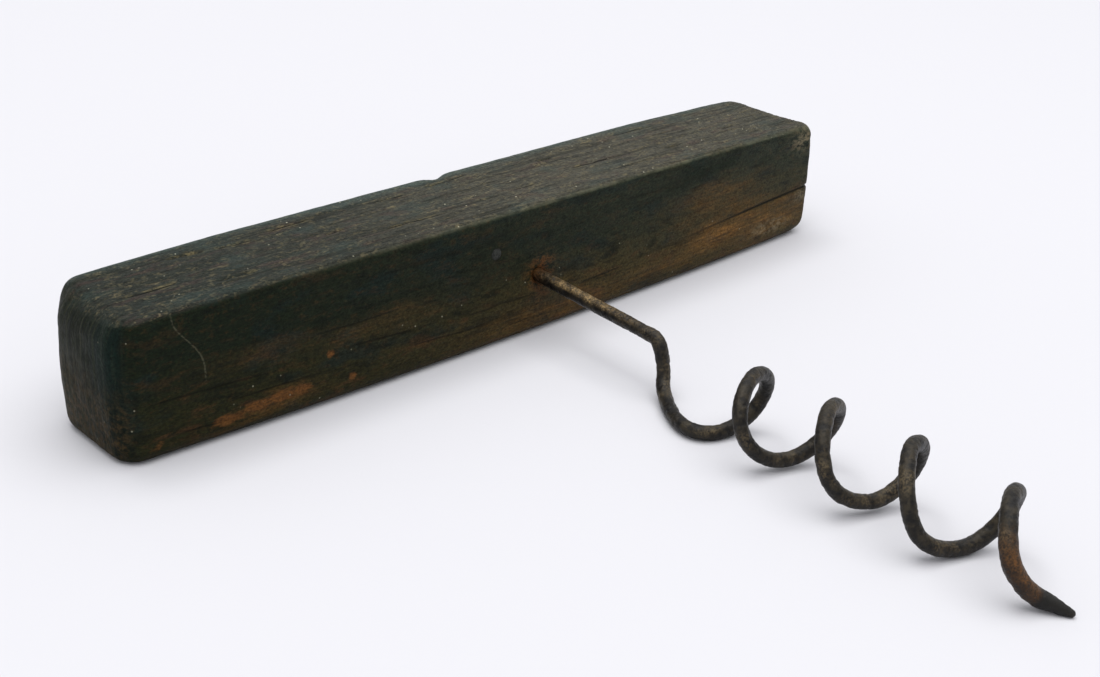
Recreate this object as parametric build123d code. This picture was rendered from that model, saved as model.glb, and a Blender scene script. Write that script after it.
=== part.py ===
from build123d import *
import math
import os

# T-handle corkscrew: a worn wooden bar with one bent iron wire through its middle.
# Millimetres. X runs along the bar, the worm points to -Y, Z is up.
# The origin is the centre of the bar's flat underside, the face it rests on.

# ---- wooden bar ----
BAR_LENGTH = 116.0
BAR_DEPTH = 17.0            # along Y, front face to back face
BAR_HEIGHT = 17.5
END_CORNER = 3.0            # upright corners at the two ends
TOP_ROUNDING = 1.4          # rim of the top face, worn by the hand
FOOT_ROUNDING = 1.1         # rim of the underside

# drying split in the front face, open at the right end
SPLIT_LENGTH = 29.0
SPLIT_DEPTH = 4.0
SPLIT_GAP = 0.5
SPLIT_END_HEIGHT = 7.6      # above the underside, at the end of the bar
SPLIT_TIP_HEIGHT = 7.0

# ---- iron wire ----
WIRE_RADIUS = 0.88
HOLE_CLEARANCE = 0.05       # radial, in the bar's two holes and the groove between them
SHANK_FACE = (1.7, 7.8)     # X and Z where the shank leaves the front face
TAIL_FACE = (-5.3, 12.3)    # X and Z where the returned end is cut flush
CLENCH_BEND = 1.4           # bends at the back of the bar, on the centreline
ELBOW = (1.65, -30.8, 6.85)
ELBOW_BEND = 1.7

# from the elbow the wire drops and runs along the ground into the first turn
LEAD_IN = [
    (1.5, -31.95, 3.2),
    (0.7, -32.6, 1.7),
    (-0.7, -34.6, 0.9),
    (-2.5, -37.3, 0.9),
    (-3.6, -39.6, 0.92),
    (-3.9, -41.6, 1.0),
    (-2.9, -43.2, 0.9),
]

# worm: a right-hand coil bent by hand, so every half turn has its own reach
COIL_X = -0.9               # axis at the first low point
COIL_RADIUS = 4.97
COIL_SHRINK = 0.05          # radius lost per half turn
COIL_DRIFT = 0.13           # sideways drift of the axis per half turn
HALF_TURN_Y = (-43.9, -47.4, -53.3, -58.0, -65.3, -68.6, -76.3, -80.6, -87.8)
HALF_TURN_Z = (0.74, 9.44, 1.06, 9.64, 1.26, 9.64, 0.74, 9.24, 0.76)   # low, high, low, ...
POINTS_PER_HALF_TURN = 6
COIL_HALF_TURNS = 7.5       # the last turn is opened out from here on

# the opened end lies on the ground and is ground to a point
LEAD_OUT = [(-3.8, -85.3, 3.0), (-2.95, -86.2, 1.8), (-2.0, -87.1, 1.06)]
POINT_TIP = (-0.7, -90.0, 0.3)
POINT_START = 0.2           # share of the last run that keeps its full diameter
POINT_TIP_RADIUS = 0.15


def shank_at(y):
    """The shank's centreline, straight from the elbow through the bar."""
    front = -BAR_DEPTH / 2
    share = (y - front) / (ELBOW[1] - front)
    x = SHANK_FACE[0] + share * (ELBOW[0] - SHANK_FACE[0])
    z = SHANK_FACE[1] + share * (ELBOW[2] - SHANK_FACE[1])
    return (x, y, z)


def tail_at(y):
    return (TAIL_FACE[0], y, TAIL_FACE[1])


def coil_point(half_turns):
    """Centre of the wire this many half turns after the first low point."""
    turn = min(int(half_turns), len(HALF_TURN_Y) - 2)
    share = half_turns - turn
    blend = (1 - math.cos(math.pi * share)) / 2
    radius = COIL_RADIUS - COIL_SHRINK * half_turns
    x = COIL_X + COIL_DRIFT * half_turns + radius * math.sin(math.pi * half_turns)
    y = HALF_TURN_Y[turn] + share * (HALF_TURN_Y[turn + 1] - HALF_TURN_Y[turn])
    z = HALF_TURN_Z[turn] + blend * (HALF_TURN_Z[turn + 1] - HALF_TURN_Z[turn])
    return (x, y, z)


def coil_route():
    count = round(COIL_HALF_TURNS * POINTS_PER_HALF_TURN)
    return [coil_point(i / POINTS_PER_HALF_TURN) for i in range(count + 1)]


def smooth_radii(points):
    """The largest arcs that fit between the straight runs, one for each inner point."""
    radii = []
    for before, here, after in zip(points, points[1:], points[2:]):
        arriving = Vector(here) - Vector(before)
        leaving = Vector(after) - Vector(here)
        half_turn = math.radians(arriving.get_angle(leaving)) / 2
        shorter = min(arriving.length, leaving.length)
        radii.append(0.45 * shorter / math.tan(half_turn))
    return radii


def tube(points, radii, radius):
    """A round bar swept along straight runs joined by tangent arcs."""
    path = FilletPolyline(*points, radius=radii)
    section = Plane(origin=path @ 0, z_dir=path % 0) * Circle(radius)
    return sweep(section, path=path)


def point_base():
    """Where the ground point begins, on the last run."""
    corner = Vector(LEAD_OUT[-1])
    return corner + (Vector(POINT_TIP) - corner) * POINT_START


def make_wire():
    back = BAR_DEPTH / 2
    anchor = [tail_at(-back), tail_at(back), shank_at(back), ELBOW]
    free = LEAD_IN + coil_route() + LEAD_OUT
    points = anchor + free + [tuple(point_base())]
    radii = [CLENCH_BEND, CLENCH_BEND, ELBOW_BEND] + smooth_radii([ELBOW] + points[len(anchor):])
    return tube(points, radii, WIRE_RADIUS) + make_point()


def make_point():
    base = point_base()
    along = Vector(POINT_TIP) - base
    cone = Cone(
        WIRE_RADIUS, POINT_TIP_RADIUS, along.length, align=(Align.CENTER, Align.CENTER, Align.MIN)
    )
    return Plane(origin=base, z_dir=along) * cone


def make_split():
    """A thin wedge, widest at the end of the bar."""
    beyond = BAR_LENGTH / 2 + 1
    outline = Polyline(
        (beyond, SPLIT_END_HEIGHT + SPLIT_GAP / 2),
        (beyond, SPLIT_END_HEIGHT - SPLIT_GAP / 2),
        (BAR_LENGTH / 2 - SPLIT_LENGTH, SPLIT_TIP_HEIGHT),
        close=True,
    )
    front = Plane.XZ.offset(BAR_DEPTH / 2 + 1)
    return extrude(front * make_face(outline), amount=-(SPLIT_DEPTH + 1))


def make_wire_way():
    """The two holes and the groove across the back that take the wire."""
    back = BAR_DEPTH / 2
    front = -back - 1
    points = [tail_at(front), tail_at(back), shank_at(back), shank_at(front)]
    return tube(points, [CLENCH_BEND, CLENCH_BEND], WIRE_RADIUS + HOLE_CLEARANCE)


def make_bar():
    bar = Box(BAR_LENGTH, BAR_DEPTH, BAR_HEIGHT, align=(Align.CENTER, Align.CENTER, Align.MIN))
    bar = fillet(bar.edges().filter_by(Axis.Z), END_CORNER)
    bar = fillet(bar.faces().sort_by(Axis.Z)[-1].edges(), TOP_ROUNDING)
    bar = fillet(bar.faces().sort_by(Axis.Z)[0].edges(), FOOT_ROUNDING)
    return bar - make_split() - make_wire_way()


os.makedirs("parts", exist_ok=True)
export_step(make_bar(), "parts/bar.step")
export_step(make_wire(), "parts/wire_worm.step")
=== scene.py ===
import bpy
import math
import numpy as np
from collections import namedtuple
from itertools import product
from mathutils import Matrix, Vector


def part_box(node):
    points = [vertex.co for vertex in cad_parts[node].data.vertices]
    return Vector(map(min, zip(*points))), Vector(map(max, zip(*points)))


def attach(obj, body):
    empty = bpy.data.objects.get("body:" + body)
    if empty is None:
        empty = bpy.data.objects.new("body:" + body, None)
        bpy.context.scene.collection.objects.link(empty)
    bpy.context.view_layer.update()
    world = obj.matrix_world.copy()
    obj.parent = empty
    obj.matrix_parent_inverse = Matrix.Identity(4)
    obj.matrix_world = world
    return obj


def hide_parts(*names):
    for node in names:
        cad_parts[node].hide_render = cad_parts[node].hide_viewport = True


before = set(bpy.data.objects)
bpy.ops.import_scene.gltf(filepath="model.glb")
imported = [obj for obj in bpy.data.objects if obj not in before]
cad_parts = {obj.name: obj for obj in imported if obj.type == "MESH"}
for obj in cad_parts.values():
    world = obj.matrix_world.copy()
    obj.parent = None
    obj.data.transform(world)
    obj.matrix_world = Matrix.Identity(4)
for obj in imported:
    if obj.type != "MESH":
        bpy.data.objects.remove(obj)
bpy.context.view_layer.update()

# A worn wooden T-handle corkscrew with a rusted iron worm.
# Everything below works in millimetres; meshes are scaled to metres when they are made.
MM = 0.001

# ---- the bar's box: the CAD box, with the hand-cut ends a little out of line ----
CAD_LOW, CAD_HIGH = (np.array(corner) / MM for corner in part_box("bar"))
BAR_LOW = CAD_LOW + (-0.4, 0, 0)
BAR_HIGH = CAD_HIGH + (0.3, -0.1, 0.1)
LEFT, FRONT, FLOOR_Z = BAR_LOW
RIGHT, BACK, TOP = BAR_HIGH
MIDDLE = (BAR_LOW + BAR_HIGH) / 2
HALF = (BAR_HIGH - BAR_LOW) / 2

# ---- the wire's route, as the part has it but for LEAN ----
WIRE_RADIUS = 0.88
CAD_FRONT = CAD_LOW[1]
CAD_BACK = CAD_HIGH[1]
SHANK_FACE = (1.7, 7.8)
TAIL_FACE = (-5.3, 12.3)
CLENCH_BEND = 1.4
ELBOW = (1.65, -30.8, 6.85)
ELBOW_BEND = 1.7
LEAD_IN = [
    (1.5, -31.95, 3.2),
    (0.7, -32.6, 1.7),
    (-0.7, -34.6, 0.9),
    (-2.5, -37.3, 0.9),
    (-3.6, -39.6, 0.92),
    (-3.9, -41.6, 1.0),
    (-2.9, -43.2, 0.9),
]
COIL_X = -0.9
COIL_RADIUS = 4.97
COIL_SHRINK = 0.05
COIL_DRIFT = 0.13
HALF_TURN_Y = (-43.9, -47.4, -53.3, -58.0, -65.3, -68.6, -76.3, -80.6, -87.8)
HALF_TURN_Z = (0.74, 9.44, 1.06, 9.64, 1.26, 9.64, 0.74, 9.24, 0.76)
# how far the wire leans along X early and late in a falling half turn, as the photo shows
LEAN = {1: (-0.1, 0.1), 3: (0.25, -0.35), 5: (0.15, -0.75), 7: (0.25, 0.0)}
POINTS_PER_HALF_TURN = 6
COIL_HALF_TURNS = 7.5
LEAD_OUT = [(-3.8, -85.3, 3.0), (-2.95, -86.2, 1.8), (-2.0, -87.1, 1.06)]
POINT_TIP = (-0.7, -90.0, 0.3)
POINT_LENGTH = 3.4          # over which the wire narrows to its point
GROUND_LENGTH = 4.8         # over which the end was ground and carries no rust


# ======================================================================
# number helpers
# ======================================================================

class Noise:
    """Smooth seeded value noise between -1 and 1; cell is its grain size along X, Y and Z."""

    SIDE = 64

    def __init__(self, seed):
        self.lattice = np.random.RandomState(seed).rand(self.SIDE, self.SIDE, self.SIDE)

    def __call__(self, points, cell):
        scaled = points / np.array(cell) + 20.37
        base = np.floor(scaled).astype(int)
        part = scaled - base
        part = part * part * (3 - 2 * part)
        total = np.zeros(len(points))
        for corner in product((0, 1), repeat=3):
            at = (base + corner) % self.SIDE
            weight = np.prod(np.where(corner, part, 1 - part), axis=1)
            total += weight * self.lattice[at[:, 0], at[:, 1], at[:, 2]]
        return total * 2 - 1


def smooth(low, high, value):
    """0 at low, 1 at high, and a smooth step between; low may be the larger."""
    share = np.clip((value - low) / (high - low), 0, 1)
    return share * share * (3 - 2 * share)


def mix(a, b, share):
    return a + (b - a) * share


def blob(a, b, centre_a, centre_b, reach_a, reach_b):
    """A soft spot: 1 at its centre and 0.37 at its reach."""
    return np.exp(-((a - centre_a) / reach_a) ** 2 - ((b - centre_b) / reach_b) ** 2)


def spots(a, b, table):
    """The strongest of several soft spots: two centres, two reaches and a strength each."""
    return np.maximum.reduce([
        strength * blob(a, b, centre_a, centre_b, reach_a, reach_b)
        for centre_a, centre_b, reach_a, reach_b, strength in table
    ])


def make_mesh(name, points, faces, attributes=None, smooth_shading=True):
    mesh = bpy.data.meshes.new(name)
    mesh.from_pydata((points * MM).tolist(), [], faces)
    mesh.validate()
    for key, values in (attributes or {}).items():
        layer = mesh.attributes.new(key, "FLOAT", "POINT")
        layer.data.foreach_set("value", np.clip(values, 0, 1).astype(np.float32))
    mesh.polygons.foreach_set("use_smooth", [smooth_shading] * len(mesh.polygons))
    mesh.update()
    piece = bpy.data.objects.new(name, mesh)
    bpy.context.scene.collection.objects.link(piece)
    return piece


def vertex_normals(points, quads):
    a, b, c, d = (points[quads[:, i]] for i in range(4))
    face = np.cross(c - a, d - b)
    normals = np.zeros_like(points)
    for i in range(4):
        np.add.at(normals, quads[:, i], face)
    return normals / np.linalg.norm(normals, axis=1)[:, None]


# ======================================================================
# the worn wooden bar: its rounded form
# ======================================================================

CELLS = (234, 84, 90)       # mesh cells along X, Y and Z


def spaced(low, high, cells, density):
    """Grid stations between two ends, closer together where the density is higher."""
    fine = np.linspace(low, high, 4001)
    total = np.concatenate([[0], np.cumsum(density(fine[1:] / 2 + fine[:-1] / 2))])
    return np.interp(np.linspace(0, total[-1], cells + 1), total, fine)


def rim_density(low, high):
    """Finer near both rims."""
    def density(at):
        return 1 + 0.9 * np.exp(-((at - low) / 2.2) ** 2) + 0.9 * np.exp(-((at - high) / 2.2) ** 2)
    return density


def length_density(at):
    """Finer at the two ends and around the shank's hole."""
    ends = np.exp(-((at - LEFT) / 5) ** 2) + np.exp(-((at - RIGHT) / 5) ** 2)
    return 1 + 1.2 * ends + 1.3 * np.exp(-((at - SHANK_FACE[0]) / 2.2) ** 2)


def box_grid():
    """Points and quads of a box whose six sides are fine grids that share their rims."""
    lines = [
        spaced(LEFT, RIGHT, CELLS[0], length_density),
        spaced(FRONT, BACK, CELLS[1], rim_density(FRONT, BACK)),
        spaced(FLOOR_Z, TOP, CELLS[2], rim_density(FLOOR_Z, TOP)),
    ]
    number = -np.ones([cells + 1 for cells in CELLS], int)
    shell = np.zeros(number.shape, bool)
    shell[[0, -1]] = shell[:, [0, -1]] = shell[:, :, [0, -1]] = True
    number[shell] = np.arange(shell.sum())
    at = np.argwhere(shell)
    points = np.stack([lines[i][at[:, i]] for i in range(3)], axis=1)
    quads = []
    for axis in range(3):
        for side in (0, -1):
            grid = np.take(number, side, axis=axis)
            ring = [grid[:-1, :-1], grid[1:, :-1], grid[1:, 1:], grid[:-1, 1:]]
            if (side == 0) != (axis == 1):
                ring.reverse()
            quads.append(np.stack(ring, axis=-1).reshape(-1, 4))
    return points, np.concatenate(quads)


# Rim radii of the top and the foot. Ends: at the front and at the back of the bar.
# Front and back: at the middle and at the ends of the bar.
TOP_RIM = {"left": (2.5, 4.6), "right": (3.2, 3.8), "front": (0.9, 1.1), "back": (1.3, 1.6)}
FOOT_RIM = {"left": (1.2, 1.3), "right": (3.8, 4.6), "front": (1.5, 1.9), "back": (1.5, 2.2)}
# upright corners: side along X, side along Y, radius
CORNERS = ((-1, -1, 3.1), (-1, 1, 4.6), (1, -1, 1.6), (1, 1, 4.0))


def round_rims(p):
    """Turns the rims of the top and the foot into arcs, measured square to the nearest side."""
    inset = np.stack([p[:, 0] - LEFT, RIGHT - p[:, 0], p[:, 1] - FRONT, BACK - p[:, 1]])
    nearest = inset.min(axis=0)
    weight = np.exp(-(inset - nearest) / 1.2)
    weight /= weight.sum(axis=0)
    depth = (p[:, 1] - FRONT) / (BACK - FRONT)
    outward = ((p[:, 0] - MIDDLE[0]) / HALF[0]) ** 2
    upper = p[:, 2] > MIDDLE[2]
    radius = np.zeros(len(p))
    for rim, here in ((TOP_RIM, upper), (FOOT_RIM, ~upper)):
        sides = [mix(*rim["left"], depth), mix(*rim["right"], depth)]
        sides += [mix(*rim["front"], outward), mix(*rim["back"], outward)]
        radius = np.where(here, (weight * np.stack(sides)).sum(axis=0), radius)
    height = np.where(upper, TOP - p[:, 2], p[:, 2] - FLOOR_Z)
    a = np.clip(radius - nearest, 0, None)
    b = np.clip(radius - height, 0, None)
    on_rim = (a > 0) & (b > 0)
    longest = np.maximum(a, b)
    pull = np.where(on_rim, longest / np.maximum(np.hypot(a, b), 1e-9), 1)
    new_inset = np.where(on_rim, radius - a * pull, nearest)
    new_height = np.where(on_rim, radius - b * pull, height)
    for axis in (0, 1):
        scale = (HALF[axis] - new_inset) / np.maximum(HALF[axis] - nearest, 1e-9)
        p[:, axis] = MIDDLE[axis] + (p[:, axis] - MIDDLE[axis]) * scale
    p[:, 2] = np.where(upper, TOP - new_height, FLOOR_Z + new_height)


def round_corners(p):
    """Bends the square plan of the bar round its four upright corners."""
    for sign_x, sign_y, radius in CORNERS:
        centre_x = MIDDLE[0] + sign_x * (HALF[0] - radius)
        centre_y = MIDDLE[1] + sign_y * (HALF[1] - radius)
        a = (p[:, 0] - centre_x) * sign_x
        b = (p[:, 1] - centre_y) * sign_y
        inside = (a > 0) & (b > 0)
        scale = np.maximum(a, b) / np.maximum(np.hypot(a, b), 1e-9)
        p[:, 0] = np.where(inside, centre_x + sign_x * a * scale, p[:, 0])
        p[:, 1] = np.where(inside, centre_y + sign_y * b * scale, p[:, 1])


def worn_form():
    """The bar before its surface is roughened: rounded, thinner towards its ends, ends domed."""
    p, quads = box_grid()
    round_rims(p)
    round_corners(p)
    unit = (p - MIDDLE) / HALF
    end = np.abs(unit[:, 0])
    taper = 0.28 * smooth(0.55, 1.0, end)
    p[:, 1] -= np.sign(unit[:, 1]) * taper * smooth(0, 0.9, np.abs(unit[:, 1]))
    p[:, 2] -= (taper + 0.08 * (1 - end ** 2)) * smooth(0, 0.9, unit[:, 2])
    belly = 1.05 * (1 - end ** 2) * blob(p[:, 2], 0, 3.0, 0, 5.0, 1)
    p[:, 1] -= belly * smooth(0, 0.9, -unit[:, 1])
    dome = 0.35 * (unit[:, 1] ** 2 + unit[:, 2] ** 2) * smooth(0.92, 1.0, end)
    p[:, 0] -= np.sign(unit[:, 0]) * dome
    return p, quads


# ======================================================================
# the worn wooden bar: cracks, splits, knocks and stains
# ======================================================================

# drying cracks: start X, end X, place across the face at each end, half width, depth
TOP_CRACKS = [
    (-44.4, -39.4, 4.2, 3.9, 0.22, 0.34),
    (-38.8, -32.8, 3.7, 3.6, 0.16, 0.24),
    (-43.2, -37.6, -4.3, -4.5, 0.20, 0.36),
    (-25.8, -22.7, -0.1, -0.2, 0.22, 0.34),
    (-31.0, -24.0, 4.8, 5.1, 0.14, 0.14),
    (-16.0, -9.5, 4.7, 4.5, 0.14, 0.16),
    (-7.0, 1.5, 5.0, 5.3, 0.16, 0.20),
    (2.0, 6.4, -2.6, -2.7, 0.18, 0.24),
    (12.0, 15.0, 3.5, 3.3, 0.18, 0.26),
    (14.0, 22.0, -1.2, -1.0, 0.13, 0.14),
    (30.4, 34.0, -2.9, -3.0, 0.18, 0.26),
    (27.0, 37.0, 5.2, 5.0, 0.14, 0.16),
    (43.4, 46.4, -1.9, -1.8, 0.18, 0.24),
    (-54.0, -46.0, -1.6, -1.9, 0.13, 0.10),
    (-20.0, -8.0, -3.4, -3.6, 0.13, 0.12),
]
FRONT_CRACKS = [
    (-56.0, -38.0, 7.3, 6.6, 0.15, 0.20),
    (-29.0, -18.0, 7.0, 6.1, 0.16, 0.22),
    (-52.0, -43.0, 2.7, 2.4, 0.14, 0.14),
    (-46.0, -32.0, 4.9, 4.6, 0.14, 0.16),
    (-21.0, -6.0, 4.4, 3.9, 0.13, 0.12),
    (-12.0, 1.0, 5.9, 5.6, 0.13, 0.14),
    (8.0, 17.0, 4.9, 5.3, 0.14, 0.12),
    (-34.0, -20.0, 9.6, 9.4, 0.12, 0.10),
]
BACK_CRACKS = [
    (-50.0, -22.0, 10.2, 9.4, 0.18, 0.34),
    (12.0, 47.0, 6.0, 7.1, 0.18, 0.40),
    (-30.0, 6.0, 4.2, 4.6, 0.14, 0.18),
    (18.0, 40.0, 12.4, 12.0, 0.14, 0.20),
]
# the long split that opens towards the right end
SPLIT = [(12.0, 70.0, 5.4, 8.15, 0.20, 0.34)]
LINE_REACH = 2.0            # distances up to this far from a line are kept in a mask

# soft spots on the front: centre X, centre Z, reach along X, reach along Z, strength
FLAKES = (                  # where the dark skin has come off down to bare wood
    (-45.0, 2.5, 2.4, 0.95, 1.0),
    (-41.4, 3.1, 2.4, 0.95, 1.0),
    (-38.2, 3.3, 2.6, 1.05, 1.0),
    (-35.6, 3.4, 1.6, 0.8, 1.0),
    (-31.2, 6.6, 0.65, 0.75, 1.0),
    (-28.4, 2.8, 0.65, 0.85, 1.0),
    (-54.0, 2.0, 1.2, 0.8, 0.60),
)
TAN_PATCHES = (             # where the wood is rubbed brown
    (37.5, 5.3, 9.0, 2.6, 1.0),
    (48.0, 3.6, 12.0, 2.6, 0.70),
    (24.0, 3.0, 8.0, 1.8, 0.60),
    (37.0, 10.0, 8.0, 1.8, 0.48),
    (6.0, 2.4, 14.0, 1.8, 0.50),
    (-24.0, 8.6, 8.0, 1.3, 0.18),
    (-40.0, 9.4, 7.0, 1.2, 0.16),
    (-41.0, 1.8, 7.0, 1.0, 0.45),
)
SHADED_PATCHES = (          # the darkest wood, under the top edge
    (33.0, 15.2, 10.0, 2.2, 1.0),
    (8.0, 13.5, 12.0, 2.0, 0.5),
)
PALE_PATCHES = (            # worn pale near the right end
    (55.0, 15.2, 2.4, 1.5, 1.0),
    (48.5, 3.0, 4.0, 1.1, 0.8),
    (55.6, 6.4, 1.2, 1.0, 0.9),
)
BITE_X = -2.6               # a bite out of the top's back rim
SCRATCH_X = -47.6           # where the curved scratch on the front ends, low down
SCRATCH_LEAN = -3.6         # how far it leans over on its way up

Cracks = namedtuple("Cracks", "depth line strength")


def crack_set(along, across, cracks, wobble):
    """The depth of a set of cracks, the signed distance to the nearest one, and its strength."""
    depth = np.zeros(len(along))
    nearest = np.full(len(along), 1e3)
    offset = np.full(len(along), LINE_REACH)
    strength = np.zeros(len(along))
    for start, end, at_start, at_end, half_width, cut in cracks:
        share = (along - start) / (end - start)
        away = across - (at_start + (at_end - at_start) * share + wobble)
        fade = smooth(0, 0.2, share) * smooth(1, 0.8, share)
        depth = np.maximum(depth, cut * fade * np.exp(-(away / half_width) ** 2))
        beyond = np.maximum(np.maximum(start - along, along - end), 0)
        closer = np.abs(away) + beyond < nearest
        nearest = np.where(closer, np.abs(away) + beyond, nearest)
        offset = np.where(closer, away, offset)
        strength = np.where(closer, fade, strength)
    return Cracks(depth, offset, strength)


def as_line(offset):
    """Packs a signed distance into 0 to 1; the line itself is at one half."""
    return 0.5 + offset / (2 * LINE_REACH)


def groove_distance(x, z):
    """Distance in the back face from the line on which the wire lies."""
    start = np.array(TAIL_FACE)
    run = np.array(shank_at(CAD_BACK))[[0, 2]] - start
    offset = np.stack([x, z], axis=1) - start
    share = np.clip(offset @ run / (run @ run), 0, 1)
    return np.linalg.norm(offset - share[:, None] * run, axis=1)


class BarSkin:
    """The bar's rounded form, with what its relief and its paint masks are worked out from."""

    def __init__(self):
        self.points, self.quads = worn_form()
        self.normal = vertex_normals(self.points, self.quads)
        self.coarse, self.medium, self.fine, self.grain = (Noise(seed) for seed in (11, 12, 13, 14))
        self.x, self.y, self.z = self.points.T
        self.top = self.facing(2, 1, 0.55, 0.9)
        self.under = self.facing(2, -1, 0.55, 0.9)
        self.front = self.facing(1, -1, 0.55, 0.9)
        self.back = self.facing(1, 1, 0.55, 0.9)
        self.left = self.facing(0, -1, 0.5, 0.85)
        self.right = self.facing(0, 1, 0.5, 0.85)
        self.ends = self.left + self.right
        self.frontward = self.facing(1, -1, 0.2, 0.6)
        self.rim = smooth(0.97, 0.80, np.max(np.abs(self.normal), axis=1))
        self.hole = np.hypot(self.x - SHANK_FACE[0], self.z - SHANK_FACE[1])
        self.tail = np.hypot(self.x - TAIL_FACE[0], self.z - TAIL_FACE[1])
        self.flakes = spots(self.x, self.z, FLAKES) * self.front
        self.ridges = self.grain_ridges()
        self.trace_cracks()

    def facing(self, axis, sign, none, full):
        """1 where the form faces along an axis, 0 where it doesn't."""
        return smooth(none, full, sign * self.normal[:, axis])

    def grain_ridges(self):
        ridges = 1 - np.abs(self.grain(self.points, (14, 0.60, 0.60)))
        return 0.65 * ridges + 0.35 * (1 - np.abs(self.fine(self.points, (8, 0.36, 0.36))))

    def trace_cracks(self):
        p = self.points
        wobble = 0.30 * self.coarse(p, (8, 40, 40)) + 0.08 * self.medium(p, (2.2, 40, 40))
        self.top_cracks = crack_set(self.x, self.y, TOP_CRACKS, wobble)
        self.front_cracks = crack_set(self.x, self.z, FRONT_CRACKS, wobble)
        self.back_cracks = crack_set(self.x, self.z, BACK_CRACKS, wobble)
        self.split = crack_set(self.x, self.z, SPLIT, wobble * 0.5)
        round_the_end = self.right * smooth(2.0, -4.0, self.y)
        self.split_side = np.maximum(self.frontward, round_the_end)

    def grain_height(self):
        """Lengthwise ridges, deepest on the top, and saw marks down the two ends."""
        p = self.points
        height = 0.10 * self.coarse(p, (26, 9, 9))
        height += 0.035 * self.medium(p, (15, 1.9, 1.9)) * (1 - self.ends)
        relief = 0.13 * self.top + 0.045 * self.front + 0.07 * (self.back + self.under)
        height += relief * (self.ridges - 0.75)
        height += 0.02 * self.fine(p, (1.1, 0.7, 0.7))
        saw = np.abs(self.grain(p, (30, 0.62, 8))) + 0.5 * np.abs(self.fine(p, (30, 0.34, 3)))
        height -= 0.035 * self.ends * (1 - np.clip(saw * 1.6, 0, 1))
        return height + 0.10 * self.ends * self.medium(p, (4, 2.4, 2.4))

    def crack_depth(self):
        depth = self.top * self.top_cracks.depth + self.front * self.front_cracks.depth
        depth += self.back * self.back_cracks.depth
        return depth + self.split_side * self.split.depth * smooth(24, 52, self.x)

    def knock_depth(self):
        """A bite out of the back rim, small chips along every rim, and knocks on the top."""
        p = self.points
        bite = blob(self.x, self.y, BITE_X, BACK, 1.3, 1.5) * smooth(TOP - 3.0, TOP - 0.6, self.z)
        chips = smooth(0.45, 0.85, self.fine(p, (1.5, 1.1, 1.1)))
        chips *= smooth(0.1, 0.6, self.medium(p, (7, 4, 4)))
        knocks = smooth(0.62, 0.9, self.medium(p, (2.4, 0.9, 0.9)))
        knocks *= smooth(0.0, 0.5, self.coarse(p, (12, 6, 6)))
        return 0.70 * bite + 0.14 * self.rim * chips + 0.12 * self.top * knocks

    def hollow_depth(self):
        """Flaked patches, two holes in front and a groove across the back."""
        groove = groove_distance(self.x, self.z)
        depth = 0.06 * smooth(0.35, 0.6, self.flakes)
        depth += self.front * 0.45 * np.exp(-(self.hole / 1.25) ** 4)
        depth += self.front * 0.20 * np.exp(-(self.tail / 1.05) ** 6)
        return depth + self.back * 0.5 * np.exp(-(groove / 1.25) ** 4)

    def worn_points(self):
        """The form with its relief, but flat where the bar stands."""
        height = self.grain_height() - self.crack_depth() - self.knock_depth() - self.hollow_depth()
        keep_flat = 1 - self.facing(2, -1, 0.8, 0.99)
        moved = self.points + self.normal * (height * keep_flat)[:, None]
        moved[:, 2] = np.maximum(moved[:, 2], FLOOR_Z)
        return moved

    def stain_masks(self):
        x, y, z, p = self.x, self.y, self.z, self.points
        wander = z + 1.6 * self.medium(p, (15, 2.6, 2.6)) + 1.0 * self.fine(p, (6, 1.2, 1.2))
        front_corner = blob(y, z, FRONT + 2.4, 13.0, 3.0, 6.0) * self.left
        # painted reflection: a pale teal band along the top's back rim
        rim_reflection_band = smooth(BACK - 3.2, BACK - 0.6, y) * self.facing(2, 1, 0.3, 0.7)
        return {
            "low": smooth(12.5, 4.0, wander),
            # lighter towards the right; on the top this lightening is painted sheen
            "rightward": smooth(-62, 60, x + 3 * self.medium(p, (12, 3, 3))),
            "tan": spots(x, wander, TAN_PATCHES) * (1 - self.top),
            "shade": spots(x, wander, SHADED_PATCHES) * self.front,
            # a teal tint at the left end's front corner, and the painted rim reflection along the back
            "teal_and_rim_reflection": np.maximum(front_corner, rim_reflection_band),
            "end_light": smooth(FRONT + 3, BACK - 1, y) * self.left,
            "pale": spots(x, z, PALE_PATCHES) * self.frontward,
            "rust": 0.9 * np.exp(-(self.hole / 1.6) ** 2) + 0.30 * blob(x, z, 2.6, 9.8, 1.6, 0.9),
            "hole": np.exp(-(self.hole / 1.15) ** 6) + np.exp(-(self.tail / 1.05) ** 6),
        }

    def line_masks(self):
        """Lines are kept as distances, so that the material can draw them finer than the mesh."""
        sides = np.where(self.y > 0, self.back_cracks.line, self.front_cracks.line)
        scratch = SCRATCH_X + SCRATCH_LEAN * smooth(9.0, 16.5, self.z) ** 1.5
        return {
            "crack": as_line(np.where(self.top > 0.5, self.top_cracks.line, sides)),
            "crack_strength": np.maximum.reduce([
                self.top * self.top_cracks.strength,
                self.front * self.front_cracks.strength * 0.6,
                self.back * self.back_cracks.strength,
            ]),
            "split": as_line(self.split.line),
            "split_strength": self.split_side * smooth(12, 48, self.x),
            "scratch": as_line(self.x - scratch),
            "scratch_strength": self.front * smooth(7.6, 9.0, self.z) * smooth(17.4, 16.2, self.z),
        }

    def masks(self):
        front_top = self.facing(1, -1, 0.25, 0.6) * self.facing(2, 1, 0.25, 0.6)
        return {
            "top_side": self.top,
            "end_side": self.ends,
            "flaked": self.flakes,
            "furrow": smooth(0.62, 0.40, self.ridges) * (self.top + 0.4 * self.front),
            # the front-top rim: worn, and paler partly as painted highlight
            "edge": self.rim * front_top * smooth(-50, 10, self.x),
            "right_edge": self.rim * self.facing(1, -1, 0.25, 0.6) * self.facing(0, 1, 0.3, 0.7),
            **self.stain_masks(),
            **self.line_masks(),
        }


# ======================================================================
# the iron wire
# ======================================================================

SIDES = 30
STEP = 0.105                # between rings of the wire's mesh


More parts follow.
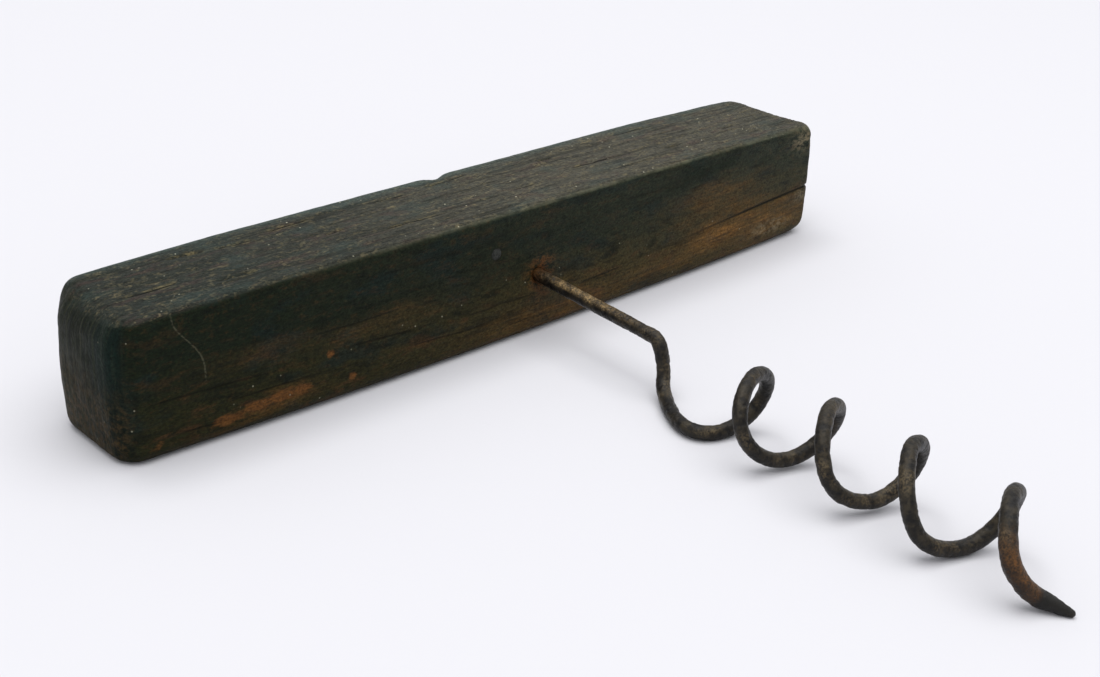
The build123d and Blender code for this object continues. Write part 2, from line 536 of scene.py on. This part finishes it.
def shank_at(y):
    share = (y - CAD_FRONT) / (ELBOW[1] - CAD_FRONT)
    x = SHANK_FACE[0] + share * (ELBOW[0] - SHANK_FACE[0])
    z = SHANK_FACE[1] + share * (ELBOW[2] - SHANK_FACE[1])
    return (x, y, z)


def coil_point(half_turns):
    turn = min(int(half_turns), len(HALF_TURN_Y) - 2)
    share = half_turns - turn
    blend = (1 - math.cos(math.pi * share)) / 2
    radius = COIL_RADIUS - COIL_SHRINK * half_turns
    x = COIL_X + COIL_DRIFT * half_turns + radius * math.sin(math.pi * half_turns)
    early, late = LEAN.get(turn, (0, 0))
    x += (early if share < 0.5 else late) * abs(math.sin(2 * math.pi * share))
    y = mix(HALF_TURN_Y[turn], HALF_TURN_Y[turn + 1], share)
    z = mix(HALF_TURN_Z[turn], HALF_TURN_Z[turn + 1], blend)
    return (x, y, z)


def tight_corner(before, corner, after, bend):
    """Three control points that turn a smooth route round a bend of this radius."""
    before, corner, after = (np.array(v, float) for v in (before, corner, after))
    arriving = (corner - before) / np.linalg.norm(corner - before)
    leaving = (after - corner) / np.linalg.norm(after - corner)
    turn = math.acos(np.clip(arriving @ leaving, -1, 1))
    reach = 2 * bend * math.tan(turn / 2)
    return [corner - arriving * reach, corner, corner + leaving * reach]


def control_points():
    tail_front = (TAIL_FACE[0], CAD_FRONT - 0.04, TAIL_FACE[1])
    tail_back = (TAIL_FACE[0], CAD_BACK, TAIL_FACE[1])
    back = shank_at(CAD_BACK)
    count = round(COIL_HALF_TURNS * POINTS_PER_HALF_TURN)
    coil = [coil_point(i / POINTS_PER_HALF_TURN) for i in range(count + 1)]
    route = [tail_front]
    route += tight_corner(tail_front, tail_back, back, CLENCH_BEND)
    route += tight_corner(tail_back, back, ELBOW, CLENCH_BEND)
    route += tight_corner(back, ELBOW, LEAD_IN[0], ELBOW_BEND)[:2]
    route += LEAD_IN + coil + LEAD_OUT + [POINT_TIP]
    return np.array(route, float)


def smooth_route():
    """A quadratic spline that is tangent to every run at its middle, at even steps."""
    corners = control_points()
    middles = (corners[1:] + corners[:-1]) / 2
    middles[0], middles[-1] = corners[0], corners[-1]
    spans = []
    t = np.linspace(0, 1, 60, endpoint=False)[:, None]
    for first, corner, last in zip(middles, corners[1:-1], middles[1:]):
        spans.append((1 - t) ** 2 * first + 2 * t * (1 - t) * corner + t ** 2 * last)
    points = np.concatenate(spans + [corners[-1:]])
    run = np.concatenate([[0], np.cumsum(np.linalg.norm(np.diff(points, axis=0), axis=1))])
    even = np.linspace(0, run[-1], int(run[-1] / STEP))
    return np.stack([np.interp(even, run, points[:, i]) for i in range(3)], axis=1), even


def ring_frames(route):
    """Two directions across the route at every ring, with no sudden twist."""
    tangent = np.gradient(route, axis=0)
    tangent /= np.linalg.norm(tangent, axis=1)[:, None]
    side = np.cross(tangent[0], (0, 0, 1))
    sides = []
    for direction in tangent:
        side = side - direction * (side @ direction)
        side /= np.linalg.norm(side)
        sides.append(side)
    sides = np.array(sides)
    return sides, np.cross(tangent, sides)


def per_point(ring_values):
    return np.repeat(ring_values, SIDES)


def tube_faces(rings):
    """Quads between the rings, and a fan at each end round the last two points."""
    number = np.arange(rings * SIDES).reshape(rings, SIDES)
    ahead = np.roll(number, -1, axis=1)
    quads = np.stack([number[:-1], ahead[:-1], ahead[1:], number[1:]], axis=-1).reshape(-1, 4)
    first, last = rings * SIDES, rings * SIDES + 1
    caps = [(first, int(b), int(a)) for a, b in zip(number[0], ahead[0])]
    caps += [(last, int(a), int(b)) for a, b in zip(number[-1], ahead[-1])]
    return quads.tolist() + caps


def wire_surface():
    """The wire's points, faces and paint masks: an uneven, pitted tube with a ground point."""
    route, run = smooth_route()
    across, up = ring_frames(route)
    length = run[-1]
    left = length - run
    angle = np.linspace(0, 2 * np.pi, SIDES, endpoint=False)
    circle = np.cos(angle)[None, :, None] * across[:, None] + np.sin(angle)[None, :, None] * up[:, None]
    taper = mix(0.34, 1, np.clip(left / POINT_LENGTH, 0, 1) ** 0.7)
    taper *= np.sqrt(np.clip(1 - (1 - np.clip(left / 0.32, 0, 1)) ** 2, 0.08, 1))
    blunt = np.sqrt(np.clip(1 - (1 - np.clip(run / 0.12, 0, 1)) ** 2, 0.25, 1))
    swollen = 0.10 * smooth(17, 12, left) * smooth(0.5, 3, left)
    radius = (WIRE_RADIUS + swollen) * taper * blunt
    skin = (route[:, None] + circle * radius[:, None, None]).reshape(-1, 3)

    broad, pits, fine = (Noise(seed) for seed in (21, 22, 23))
    rusty = per_point(smooth(13, 8.5, left))
    pitted = smooth(0.15, 0.75, pits(skin, (0.6, 0.6, 0.6)))
    rough = 0.035 * broad(skin, (2.2, 2.2, 2.2)) + 0.038 * fine(skin, (0.34, 0.34, 0.34))
    rough += rusty * (0.02 + 0.03 * fine(skin, (0.5, 0.5, 0.5))) - 0.07 * pitted
    skin += circle.reshape(-1, 3) * (rough * per_point(taper * blunt))[:, None]
    skin[:, 2] = np.maximum(skin[:, 2], FLOOR_Z + 0.01)

    ends = np.array([route[0] - (route[1] - route[0]) * 0.05, route[-1]])
    points = np.concatenate([skin, ends])
    run_here = np.append(per_point(run), [0, length])
    ground_start = length - GROUND_LENGTH
    # how far each point faces up; the material paints shade below with it, and a highlight on the
    # shank's top
    upper = np.append(smooth(-0.35, 0.85, circle.reshape(-1, 3)[:, 2]), [1, 1])
    masks = {
        "pit": np.append(pitted, [0, 0]),
        "rusty": np.append(rusty, [0, 1]) * smooth(ground_start + 1.4, ground_start, run_here),
        "cut_end": smooth(0.35, 0.05, run_here),
        # the stretch of shank that carries the painted highlight
        "shank": smooth(42, 47.5, run_here) * smooth(62, 52, run_here),
        "upper": upper,
        "ground": smooth(ground_start, ground_start + 1.2, run_here),
        "entry": np.exp(-((points[:, 1] - FRONT) / 1.6) ** 2) * smooth(2, 20, run_here),
    }
    return points, tube_faces(len(route)), masks


# ======================================================================
# material helpers
# ======================================================================

MIX_A, MIX_B, MIX_RESULT = 6, 7, 2      # the colour sockets of Blender's Mix node


def colour(red, green, blue):
    """A linear colour from its 0 to 255 screen values."""
    screen = np.array([red, green, blue]) / 255
    linear = np.where(screen > 0.04, ((screen + 0.055) / 1.055) ** 2.4, screen / 12.92)
    return (*linear, 1.0)


class Nodes:
    """A small wrapper that builds a material's node tree."""

    def __init__(self, name):
        self.material = bpy.data.materials.new(name)
        self.material.use_nodes = True
        self.tree = self.material.node_tree
        self.tree.nodes.clear()
        self.output = self.tree.nodes.new("ShaderNodeOutputMaterial")
        self.shader = self.tree.nodes.new("ShaderNodeBsdfPrincipled")
        self.tree.links.new(self.shader.outputs["BSDF"], self.output.inputs["Surface"])
        self.place = self.tree.nodes.new("ShaderNodeTexCoord").outputs["Object"]

    def link(self, value, socket):
        if hasattr(value, "is_output"):
            self.tree.links.new(value, socket)
        else:
            socket.default_value = value

    def mask(self, name):
        node = self.tree.nodes.new("ShaderNodeAttribute")
        node.attribute_name = name
        return node.outputs["Fac"]

    def mapped(self, cell):
        """Object coordinates scaled so that one unit is the given grain in millimetres."""
        node = self.tree.nodes.new("ShaderNodeMapping")
        node.inputs["Scale"].default_value = [1 / (MM * size) for size in cell]
        self.tree.links.new(self.place, node.inputs["Vector"])
        return node.outputs["Vector"]

    def noise(self, cell, detail=4.0, roughness=0.6, distortion=0.0):
        node = self.tree.nodes.new("ShaderNodeTexNoise")
        node.inputs["Scale"].default_value = 1.0
        node.inputs["Detail"].default_value = detail
        node.inputs["Roughness"].default_value = roughness
        node.inputs["Distortion"].default_value = distortion
        self.tree.links.new(self.mapped(cell), node.inputs["Vector"])
        return node.outputs["Fac"]

    def cells(self, cell):
        """Distance to scattered points, and a random value for each of them."""
        node = self.tree.nodes.new("ShaderNodeTexVoronoi")
        node.inputs["Scale"].default_value = 1.0
        self.tree.links.new(self.mapped(cell), node.inputs["Vector"])
        return node.outputs["Distance"], node.outputs["Color"]

    def step(self, value, low, high):
        """0 at low, 1 at high, smooth between; low may be the larger."""
        node = self.tree.nodes.new("ShaderNodeMapRange")
        node.interpolation_type = "SMOOTHSTEP"
        rising = low < high
        node.inputs["From Min"].default_value = min(low, high)
        node.inputs["From Max"].default_value = max(low, high)
        node.inputs["To Min"].default_value = 0.0 if rising else 1.0
        node.inputs["To Max"].default_value = 1.0 if rising else 0.0
        self.link(value, node.inputs["Value"])
        return node.outputs["Result"]

    def scaled(self, value, low, high, to_low, to_high):
        node = self.tree.nodes.new("ShaderNodeMapRange")
        node.inputs["From Min"].default_value = low
        node.inputs["From Max"].default_value = high
        node.inputs["To Min"].default_value = to_low
        node.inputs["To Max"].default_value = to_high
        self.link(value, node.inputs["Value"])
        return node.outputs["Result"]

    def math(self, operation, a, b):
        node = self.tree.nodes.new("ShaderNodeMath")
        node.operation = operation
        self.link(a, node.inputs[0])
        self.link(b, node.inputs[1])
        return node.outputs[0]

    def times(self, *values):
        total = values[0]
        for value in values[1:]:
            total = self.math("MULTIPLY", total, value)
        return total

    def near(self, value, width):
        """1 where the value passes through one half, fading out over the width."""
        away = self.math("ABSOLUTE", self.math("SUBTRACT", value, 0.5), 0.0)
        return self.step(away, width, width * 0.35)

    def line(self, name, half_width):
        """A thin line where a distance mask is zero."""
        return self.near(self.mask(name), half_width / (2 * LINE_REACH))

    def hairlines(self, cell, width, distortion=0.2):
        """Thin wandering lines: where a noise passes through its middle value."""
        return self.near(self.noise(cell, 1.0, 0.4, distortion), width)

    def blend(self, a, b, share, mode="MIX"):
        node = self.tree.nodes.new("ShaderNodeMix")
        node.data_type = "RGBA"
        node.blend_type = mode
        node.clamp_factor = True
        self.link(share, node.inputs["Factor"])
        self.link(a, node.inputs[MIX_A])
        self.link(b, node.inputs[MIX_B])
        return node.outputs[MIX_RESULT]

    def stain(self, under, tint, *shares):
        """Lays a colour, given by its screen values, over another where the shares allow."""
        return self.blend(under, colour(*tint), self.times(*shares))

    def bump(self, height, distance, strength):
        node = self.tree.nodes.new("ShaderNodeBump")
        node.inputs["Distance"].default_value = distance * MM
        node.inputs["Strength"].default_value = strength
        self.link(height, node.inputs["Height"])
        return node.outputs["Normal"]


# ======================================================================
# dark, worn wood
# ======================================================================

class WoodNodes(Nodes):
    """The wood's node tree, with the textures that several of its layers share."""

    def __init__(self):
        super().__init__("dark_worn_wood")
        self.grain = self.noise((8.0, 0.34, 0.34), 5, 0.65)
        self.streaks = self.noise((20.0, 1.5, 1.5), 4, 0.6, 0.4)
        self.mottled = self.noise((2.4, 1.3, 1.3), 5, 0.7)
        self.patches = self.noise((9.0, 4.0, 4.0), 4, 0.6)
        self.blotches = self.noise((6.0, 1.7, 1.7), 5, 0.7, 0.3)
        self.speckle = self.noise((0.40, 0.26, 0.26), 3, 0.75)
        self.tinted = self.noise((1.1, 0.7, 0.7), 4, 0.7)


def side_colour(n):
    """Green-black above, browner below and towards the right, rubbed tan in places."""
    upper = n.blend(colour(17, 25, 13), colour(42, 46, 34), n.mask("rightward"))
    lower = n.blend(colour(31, 32, 14), colour(62, 54, 32), n.mask("rightward"))
    side = n.blend(upper, lower, n.mask("low"))
    side = n.stain(side, (16, 30, 30), n.step(n.patches, 0.50, 0.64), 0.55)
    redder_low = n.scaled(n.mask("low"), 0.0, 1.0, 0.2, 0.5)
    side = n.stain(side, (68, 44, 26), n.step(n.blotches, 0.52, 0.66), redder_low)
    side = n.stain(side, (10, 14, 8), n.step(n.blotches, 0.47, 0.34), 0.65)
    side = n.stain(side, (58, 42, 22), n.step(n.tinted, 0.52, 0.70), 0.42)
    side = n.stain(side, (9, 15, 8), n.step(n.tinted, 0.47, 0.34), 0.55)
    side = n.stain(side, (14, 24, 14), n.mask("shade"), 0.8)
    tan = n.blend(colour(82, 58, 28), colour(124, 88, 44), n.step(n.grain, 0.38, 0.66))
    rubbed = n.times(n.mask("tan"), n.scaled(n.mottled, 0.35, 0.65, 0.35, 1.0))
    side = n.blend(side, tan, rubbed)
    return n.stain(side, (16, 18, 9), n.step(n.streaks, 0.58, 0.70), 0.5)


def end_colour(n):
    """Finely striped by the saw, browner below."""
    stripes = n.noise((30.0, 0.42, 9.0), 3, 0.6)
    end = n.blend(colour(9, 15, 7), colour(25, 28, 16), n.mask("end_light"))
    end = n.stain(end, (68, 68, 48), n.step(stripes, 0.48, 0.68), 0.38)
    end = n.stain(end, (9, 13, 9), n.step(stripes, 0.46, 0.34), 0.7)
    return n.stain(end, (66, 51, 29), n.step(n.tinted, 0.40, 0.62), n.mask("low"), 0.7)


def top_colour(n):
    """Weathered grey-green with painted sheen, darker towards the left where the painted sheen is
    weaker, with dark and purple-brown streaks.
    """
    # painted sheen: the top's grey-green is lightened towards the right
    top = n.blend(colour(37, 41, 35), colour(68, 66, 56), n.step(n.mask("rightward"), 0.0, 0.62))
    top = n.stain(top, (22, 24, 19), n.step(n.grain, 0.50, 0.36), 0.65)
    top = n.stain(top, (62, 46, 42), n.step(n.blotches, 0.52, 0.64), 0.45)
    top = n.stain(top, (24, 26, 21), n.step(n.blotches, 0.46, 0.36), 0.45)
    top = n.stain(top, (98, 90, 66), n.step(n.tinted, 0.52, 0.68), 0.55)
    top = n.stain(top, (24, 24, 19), n.step(n.tinted, 0.46, 0.34), 0.55)
    top = n.stain(top, (44, 57, 53), n.step(n.patches, 0.50, 0.64), 0.45)
    # painted reflection along the back rim of the top
    return n.stain(top, (68, 82, 78), n.mask("teal_and_rim_reflection"), 0.60)


def lay_dust(n, surface):
    """Ochre dust on the top: caught in fine scratches, and lying in drifts."""
    on_top = n.mask("top_side")
    lengthwise = n.hairlines((9.0, 1.2, 3.0), 0.012, 0.05)
    crosswise = n.hairlines((2.8, 7.0, 3.0), 0.006)
    scratches = n.math("MAXIMUM", lengthwise, crosswise)
    areas = n.step(n.noise((7.0, 5.0, 5.0), 2, 0.5), 0.50, 0.64)
    broken = n.step(n.speckle, 0.44, 0.60)
    surface = n.stain(surface, (120, 108, 80), scratches, areas, on_top, broken, 0.55)
    drifts = n.step(n.noise((5.0, 2.2, 2.2), 3, 0.6), 0.50, 0.62)
    powder = n.times(n.step(n.mottled, 0.48, 0.62), broken, drifts, on_top)
    less_leftward = n.scaled(n.mask("rightward"), 0.0, 0.5, 0.25, 0.65)
    return n.stain(surface, (116, 106, 78), powder, less_leftward)


def draw_cracks(n, surface):
    """Drying cracks, with dust beside those on the top."""
    strength = n.mask("crack_strength")
    beside = n.times(n.line("crack", 0.75), strength, n.step(n.mottled, 0.48, 0.62))
    beside = n.times(beside, n.step(n.speckle, 0.36, 0.54), n.mask("top_side"))
    surface = n.stain(surface, (110, 100, 70), beside, 0.6)
    return n.stain(surface, (12, 12, 8), n.line("crack", 0.17), strength, 0.9)


def wear_edges(n, surface):
    """Paler front-top edges, worn and partly painted highlight, bare flaked patches and rubbed places.
    """
    worn = n.scaled(n.mottled, 0.35, 0.65, 0.1, 0.9)
    # paler front-top edge: wear and painted highlight
    surface = n.stain(surface, (104, 104, 84), n.mask("edge"), worn, 0.5)
    flecks = n.step(n.tinted, 0.48, 0.60)
    surface = n.stain(surface, (150, 138, 118), n.mask("right_edge"), flecks, 0.8)
    torn = n.scaled(n.noise((2.0, 0.6, 0.6), 5, 0.65), 0.3, 0.7, -0.28, 0.28)
    ragged = n.math("ADD", n.mask("flaked"), torn)
    bare = n.blend(colour(62, 41, 21), colour(110, 71, 35), n.step(n.speckle, 0.28, 0.72))
    surface = n.blend(surface, bare, n.times(n.step(ragged, 0.34, 0.80), 0.9))
    return n.stain(surface, (150, 136, 108), n.mask("pale"), n.step(n.tinted, 0.42, 0.62), 0.55)


def mark_holes(n, surface):
    """Rust and shade around the wire, the split, and the curved scratch."""
    rust = n.blend(colour(62, 38, 19), colour(132, 78, 34), n.step(n.speckle, 0.36, 0.62))
    rusted = n.times(n.mask("rust"), n.step(n.tinted, 0.36, 0.56), 0.8)
    surface = n.blend(surface, rust, rusted)
    surface = n.stain(surface, (8, 8, 5), n.mask("hole"), 0.35)
    surface = n.stain(surface, (14, 17, 11), n.line("split", 0.26), n.mask("split_strength"), 0.85)
    thin = n.times(n.line("scratch", 0.16), n.mask("scratch_strength"))
    return n.stain(surface, (84, 82, 66), thin, n.step(n.speckle, 0.35, 0.55), 0.5)


def scatter_grains(n, surface):
    """Pale dust grains in loose crowds, most of them on the top."""
    distance, tint = n.cells((1.1, 1.1, 1.1))
    crowded = n.step(n.noise((9.0, 5.0, 5.0), 3, 0.6), 0.44, 0.58)
    grains = n.times(n.step(distance, 0.12, 0.06), n.step(tint, 0.56, 0.62), crowded)
    mostly_on_top = n.scaled(n.mask("top_side"), 0.0, 1.0, 0.35, 0.9)
    return n.stain(surface, (190, 186, 162), grains, mostly_on_top)


def wood_material():
    n = WoodNodes()
    side = n.blend(side_colour(n), end_colour(n), n.times(n.mask("end_side"), 0.85))
    # dark teal tint on the sides, mostly at the left end's front corner
    side = n.stain(side, (12, 30, 26), n.mask("teal_and_rim_reflection"), 0.7)
    surface = n.blend(side, top_colour(n), n.mask("top_side"))
    surface = n.blend(surface, n.scaled(n.speckle, 0.32, 0.68, 0.05, 0.95), 0.60, "OVERLAY")
    surface = n.stain(surface, (24, 26, 19), n.mask("furrow"), 0.55)
    for layer in (lay_dust, draw_cracks, wear_edges, mark_holes, scatter_grains):
        surface = layer(n, surface)
    n.link(surface, n.shader.inputs["Base Color"])
    n.shader.inputs["Specular IOR Level"].default_value = 0.07
    n.link(n.scaled(n.mottled, 0.3, 0.7, 0.44, 0.62), n.shader.inputs["Roughness"])
    heights = n.math("ADD", n.times(n.grain, 0.5), n.times(n.speckle, 0.5))
    n.link(n.bump(heights, 0.20, 0.9), n.shader.inputs["Normal"])
    return n.material


# ======================================================================
# rusted iron
# ======================================================================

def iron_material():
    n = Nodes("rusted_iron")
    patchy = n.noise((1.4, 1.4, 1.4), 5, 0.7)
    fine = n.noise((0.26, 0.26, 0.26), 4, 0.7)
    scale = n.noise((3.2, 3.2, 3.2), 3, 0.5)
    dark = n.blend(colour(14, 12, 10), colour(50, 44, 33), n.step(patchy, 0.38, 0.62))
    scaly = n.times(n.step(scale, 0.46, 0.64), n.step(fine, 0.42, 0.60))
    dark = n.stain(dark, (104, 90, 66), scaly, 0.62)
    dark = n.stain(dark, (12, 10, 9), n.mask("pit"), 0.75)
    # painted highlight: bright bronze along the top of the shank
    highlight_bronze = n.blend(colour(84, 70, 46), colour(176, 146, 98), n.step(fine, 0.40, 0.64))
    painted_highlight = n.times(n.mask("shank"), n.step(n.mask("upper"), 0.55, 0.98))
    dark = n.blend(dark, highlight_bronze, n.times(painted_highlight, n.scaled(patchy, 0.38, 0.62, 0.15, 0.9)))
    orange = n.blend(colour(52, 35, 18), colour(108, 70, 32), n.step(fine, 0.36, 0.66))
    rusty = n.blend(dark, orange, n.times(n.mask("rusty"), n.scaled(patchy, 0.34, 0.60, 0.30, 0.90)))
    rusty = n.blend(rusty, orange, n.times(n.mask("entry"), 0.8))
    ground = n.stain(rusty, (23, 22, 19), n.mask("ground"), 0.9)
    # painted shade: the wire's lower side is darkened
    shaded = n.blend(colour(9, 8, 7), ground, n.scaled(n.mask("upper"), 0.0, 0.6, 0.35, 1.0))
    aged = n.blend(colour(24, 27, 23), colour(50, 52, 47), n.step(fine, 0.38, 0.62))
    surface = n.blend(shaded, aged, n.mask("cut_end"))
    n.link(surface, n.shader.inputs["Base Color"])
    n.shader.inputs["Metallic"].default_value = 0.35
    n.shader.inputs["Specular IOR Level"].default_value = 0.35
    n.link(n.scaled(fine, 0.3, 0.7, 0.30, 0.58), n.shader.inputs["Roughness"])
    heights = n.math("ADD", n.times(fine, 0.6), n.times(patchy, 0.4))
    n.link(n.bump(heights, 0.14, 0.9), n.shader.inputs["Normal"])
    return n.material


# ======================================================================
# stage
# ======================================================================

def floor_material():
    n = Nodes("pale_floor")
    n.shader.inputs["Base Color"].default_value = (0.66, 0.655, 0.68, 1.0)
    n.shader.inputs["Roughness"].default_value = 0.9
    n.shader.inputs["Specular IOR Level"].default_value = 0.1
    return n.material


def make_floor():
    half, below = 2500, -0.02
    corners = [(-half, -half, below), (half, -half, below), (half, half, below), (-half, half, below)]
    floor = make_mesh("floor", np.array(corners, float), [(0, 1, 2, 3)], smooth_shading=False)
    floor.data.materials.append(floor_material())


def make_light(name, location, target, size, power):
    light = bpy.data.lights.new(name, "AREA")
    light.shape = "DISK"
    light.size = size
    light.energy = power
    lamp = bpy.data.objects.new(name, light)
    lamp.location = location
    lamp.rotation_euler = (Vector(target) - Vector(location)).to_track_quat("-Z", "Y").to_euler()
    bpy.context.scene.collection.objects.link(lamp)


def make_lights():
    """A soft room, a wide softbox overhead and a smaller one behind for the highlights."""
    world = bpy.data.worlds.new("soft_room")
    world.use_nodes = True
    sky = world.node_tree.nodes["Background"]
    sky.inputs["Color"].default_value = (0.96, 0.97, 1.0, 1.0)
    sky.inputs["Strength"].default_value = 0.72
    bpy.context.scene.world = world
    make_light("softbox", (0.05, -0.12, 1.0), (0.0, -0.03, 0.0), 1.4, 9.6)
    make_light("highlight", (-0.05, 0.34, 0.90), (0.0, -0.03, 0.0), 0.30, 0.9)


# the camera, estimated from the bar's edges
CAMERA_PLACE = (-128.2, -148.0, 90.9)
CAMERA_ANGLES = (43.57, 25.84, -2.35)   # azimuth, downward tilt and roll in degrees
SENSOR_WIDTH = 36.0
FOCAL_LENGTH = 52.4


def make_camera():
    """Looks down at the bar from its left front."""
    azimuth, elevation, roll = (math.radians(v) for v in CAMERA_ANGLES)
    forward = Vector((
        math.sin(azimuth) * math.cos(elevation),
        math.cos(azimuth) * math.cos(elevation),
        -math.sin(elevation),
    ))
    level = Vector((math.cos(azimuth), -math.sin(azimuth), 0))
    down = forward.cross(level)
    right = level * math.cos(roll) + down * math.sin(roll)
    up = level * math.sin(roll) - down * math.cos(roll)
    turn = Matrix((right, up, -forward)).transposed().to_4x4()
    data = bpy.data.cameras.new("camera")
    data.sensor_width = SENSOR_WIDTH
    data.lens = FOCAL_LENGTH
    data.clip_start = 0.01
    camera = bpy.data.objects.new("camera", data)
    camera.matrix_world = Matrix.Translation(Vector(CAMERA_PLACE) * MM) @ turn
    bpy.context.scene.collection.objects.link(camera)
    bpy.context.scene.camera = camera


# ======================================================================
# assembly
# ======================================================================

def make_bar():
    skin = BarSkin()
    bar = make_mesh("worn_bar", skin.worn_points(), skin.quads.tolist(), skin.masks())
    bar.data.materials.append(wood_material())
    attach(bar, "root")
    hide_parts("bar")


def make_wire():
    points, faces, masks = wire_surface()
    wire = make_mesh("iron_worm", points, faces, masks)
    wire.data.materials.append(iron_material())
    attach(wire, "root")
    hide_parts("wire_worm")


make_camera()
make_lights()
make_floor()
make_bar()
make_wire()
bpy.context.scene.view_settings.view_transform = "Standard"
